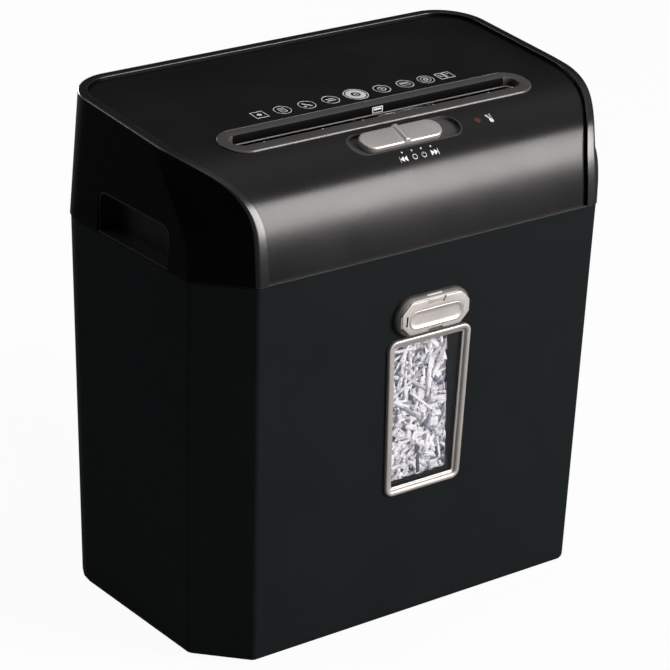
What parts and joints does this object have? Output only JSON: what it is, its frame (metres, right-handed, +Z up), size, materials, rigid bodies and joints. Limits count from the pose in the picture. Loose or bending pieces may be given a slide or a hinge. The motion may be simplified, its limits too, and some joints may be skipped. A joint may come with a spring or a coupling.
{
  "type": "paper shredder",
  "caption": "Desk-side paper shredder: a cutter head with a feed slot and sliding mode switch sits on a tapered waste bin with a window.",
  "frame": {"origin": "on the floor under the middle of the bin", "axes": "+X along the feed slot to the right seen from the front, +Y to the rear, +Z up"},
  "size_m": [0.3206, 0.1869, 0.3371],
  "materials": {
    "bin_plastic": "fine matt grain",
    "casing_plastic": "satin black",
    "panel_plastic": "soft satin black",
    "gloss_black": "polished",
    "inner_black": "matt",
    "satin_silver": "satin metallic paint",
    "clear_pane": "clear",
    "foot_rubber": "matt",
    "shredded_paper": "matt paper",
    "steel_plate": "zinc plated",
    "cutter_steel": "oiled steel",
    "steel_hardware": "zinc plated",
    "bronze": "sintered bronze",
    "nylon_gear": "natural nylon",
    "motor_steel": "rolled steel",
    "armature": "copper windings on steel",
    "fan_plastic": "matt",
    "board_green": "solder mask",
    "component_plastic": "moulded",
    "lamp_red": "clear red lens",
    "white_plastic": "acetal",
    "plunger_red": "acetal"
  },
  "bodies": {
    "bin": {"waste_bin": "bin_plastic", "bin_feet": "foot_rubber", "window_frame": "satin_silver", "window_pane": "clear_pane", "window_sleeve": "inner_black", "badge_plate": "satin_silver", "badge_oval": "satin_silver", "paper_shreds": "shredded_paper"},
    "head": {"head_casing": "casing_plastic", "control_panel": "panel_plastic", "slot_collar": "gloss_black", "guide_front": "inner_black", "guide_rear": "inner_black", "grip_liners": "inner_black", "head_tray": "inner_black", "tray_screws": "steel_hardware", "cord_gland": "foot_rubber", "side_plate_left": "steel_plate", "side_plate_right": "steel_plate", "tie_rods": "steel_hardware", "tie_nuts": "steel_hardware", "bushes": "bronze", "stripper_front": "inner_black", "stripper_rear": "inner_black", "idler_pins": "steel_hardware", "gear_plate": "steel_plate", "gear_plate_screws": "steel_hardware", "motor_can": "motor_steel", "motor_cradle": "inner_black", "thermal_cutout": "gloss_black", "control_board": "board_green", "board_parts": "component_plastic", "board_screws": "steel_hardware", "switch_recess": "gloss_black", "switch_body": "inner_black", "status_lamp": "lamp_red", "sensor_gate": "inner_black", "interlock_switch": "inner_black"},
    "front_roller": {"cutter_front": "cutter_steel", "sync_gear_front": "cutter_steel"},
    "rear_roller": {"cutter_rear": "cutter_steel", "sync_gear_rear": "cutter_steel", "drive_gear": "cutter_steel"},
    "idler_a": {"idler_gear_a": "nylon_gear"},
    "idler_b": {"idler_gear_b": "nylon_gear"},
    "rotor": {"motor_rotor": "armature", "motor_fan": "fan_plastic", "motor_pinion": "bronze"},
    "mode_slider": {"switch_slider": "satin_silver"},
    "paper_lever": {"sensor_lever": "white_plastic"},
    "interlock_pin": {"interlock_plunger": "plunger_red"}
  },
  "joints": [
    {"name": "head_lift", "type": "slide", "parent": "bin", "child": "head", "axis": [0, 0, 1], "range_m": [0, 0.06]},
    {"name": "rear_roller_spin", "type": "hinge", "parent": "head", "child": "rear_roller", "pos_m": [0, -0.0115, 0.272], "axis": [1, 0, 0], "continuous": true},
    {"name": "front_roller_spin", "type": "hinge", "parent": "head", "child": "front_roller", "pos_m": [0, -0.0455, 0.272], "axis": [1, 0, 0], "continuous": true},
    {"name": "idler_b_spin", "type": "hinge", "parent": "head", "child": "idler_b", "pos_m": [0, 0.01608, 0.29514], "axis": [1, 0, 0], "continuous": true},
    {"name": "idler_a_spin", "type": "hinge", "parent": "head", "child": "idler_a", "pos_m": [0, 0.02352, 0.26608], "axis": [1, 0, 0], "continuous": true},
    {"name": "rotor_spin", "type": "hinge", "parent": "head", "child": "rotor", "pos_m": [0, 0.044, 0.288], "axis": [1, 0, 0], "continuous": true},
    {"name": "switch_slide", "type": "slide", "parent": "head", "child": "mode_slider", "axis": [1, 0, 0], "range_m": [-0.0074, 0.0148]},
    {"name": "sensor_tilt", "type": "hinge", "parent": "head", "child": "paper_lever", "pos_m": [0, -0.0135, 0.3086], "axis": [1, 0, 0], "range_deg": [0, 22], "stiffness_Nm_per_rad": 0.002, "springref_deg": -11.46},
    {"name": "interlock_drop", "type": "slide", "parent": "head", "child": "interlock_pin", "axis": [0, 0, 1], "range_m": [-0.003, 0]}
  ],
  "couplings": [
    {"joint": "front_roller_spin", "follows": "rear_roller_spin", "ratio": -1},
    {"joint": "idler_b_spin", "follows": "rear_roller_spin", "ratio": -3},
    {"joint": "idler_a_spin", "follows": "rear_roller_spin", "ratio": 9},
    {"joint": "rotor_spin", "follows": "rear_roller_spin", "ratio": -45},
    {"joint": "interlock_drop", "follows": "head_lift", "ratio": -0.05}
  ]
}
